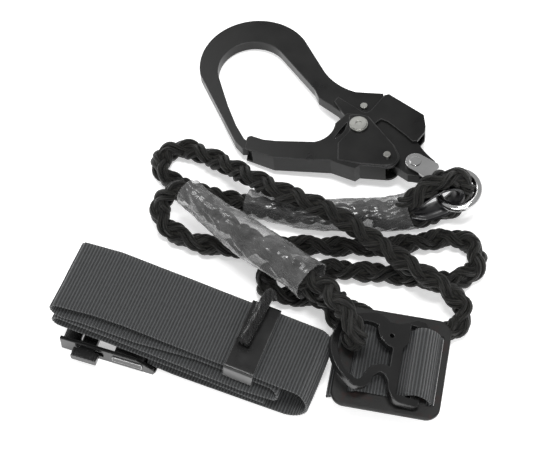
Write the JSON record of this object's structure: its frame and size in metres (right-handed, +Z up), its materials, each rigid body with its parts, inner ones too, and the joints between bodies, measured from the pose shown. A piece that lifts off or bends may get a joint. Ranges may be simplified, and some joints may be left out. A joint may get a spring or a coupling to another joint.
{
  "type": "work positioning lanyard and belt",
  "caption": "Plaited rope lanyard with a locking scaffold hook on a swivel, spliced to the D-ring of a webbing waist belt with back plate, keeper and slide-lock buckle.",
  "frame": {"origin": "on the surface the set lies on, under the middle of its overall box", "axes": "+Z up off that surface, +X along the laid-out set towards its swivel side, -Y towards the belt"},
  "size_m": [0.2778, 0.3112, 0.0549],
  "materials": {
    "hook_black": "satin black coating",
    "zinc": "zinc plated",
    "spring_wire": "drawn spring wire",
    "bright_chrome": "polished plate",
    "thimble_plastic": "moulded",
    "black_rope": "eight-strand plait",
    "clear_sleeve": "clear shrink film, wrinkled",
    "black_webbing": "ribbed webbing",
    "back_plate_plastic": "grained",
    "black_steel": "black plated",
    "keeper_black": "satin black",
    "black_cord": "thin twisted cord"
  },
  "bodies": {
    "laid_set": {"rope": "black_rope", "hook_thimble": "thimble_plastic", "hook_end_sleeve": "clear_sleeve", "belt_end_sleeve": "clear_sleeve", "belt_webbing": "black_webbing", "plate_webbing": "black_webbing", "back_plate": "back_plate_plastic", "buckle_frame": "black_steel", "anchor_bar": "zinc", "buckle_rivets": "zinc", "slide_spring": "spring_wire"},
    "d_ring": {"d_ring": "black_steel"},
    "keeper": {"belt_keeper": "keeper_black", "hanger_cord": "black_cord", "hanger_sleeve": "clear_sleeve"},
    "slide_bar": {"slide_bar": "black_steel"},
    "swivel_eye": {"swivel_eye": "bright_chrome"},
    "clevis": {"swivel_clevis": "bright_chrome", "clevis_pin": "bright_chrome"},
    "hook": {"hook_body": "hook_black", "lever_stop_rivet": "zinc", "gate_return_spring": "spring_wire", "lever_return_spring": "spring_wire"},
    "gate": {"gate": "hook_black", "gate_stop_rivet": "zinc", "main_pivot_rivet": "zinc"},
    "lever": {"safety_lever": "hook_black"}
  },
  "joints": [
    {"name": "d_ring_swing", "type": "hinge", "parent": "laid_set", "child": "d_ring", "pos_m": [0.08954, -0.11902, 0.0212], "axis": [0.19, 0.9818, 0], "range_deg": [0, 2.5]},
    {"name": "keeper_slide", "type": "slide", "parent": "laid_set", "child": "keeper", "axis": [0.9288, -0.3598, -0.0889], "range_m": [0, 0.008]},
    {"name": "buckle_slide", "type": "slide", "parent": "laid_set", "child": "slide_bar", "axis": [0.9501, -0.312, 0], "range_m": [0, 0.005], "deforming": ["slide_spring"]},
    {"name": "eye_swing", "type": "hinge", "parent": "laid_set", "child": "swivel_eye", "pos_m": [0.10847, 0.00096, 0.02032], "axis": [-0.3257, 0.9143, -0.2408], "range_deg": [0, 8]},
    {"name": "swivel_spin", "type": "hinge", "parent": "swivel_eye", "child": "clevis", "pos_m": [0.09344, 0.02544, 0.01987], "axis": [0.807, -0.5843, 0.0854], "range_deg": [-8, 8]},
    {"name": "hook_pivot", "type": "hinge", "parent": "clevis", "child": "hook", "pos_m": [0.09344, 0.02544, 0.01987], "axis": [-0.07, 0.049, 0.9963], "range_deg": [-8, 1]},
    {"name": "gate_pivot", "type": "hinge", "parent": "hook", "child": "gate", "pos_m": [0.05703, 0.05628, 0.0158], "axis": [-0.07, 0.049, 0.9963], "range_deg": [-28, 0]},
    {"name": "lever_pivot", "type": "hinge", "parent": "hook", "child": "lever", "pos_m": [0.05703, 0.05628, 0.0158], "axis": [-0.07, 0.049, 0.9963], "range_deg": [-8, 0]}
  ]
}
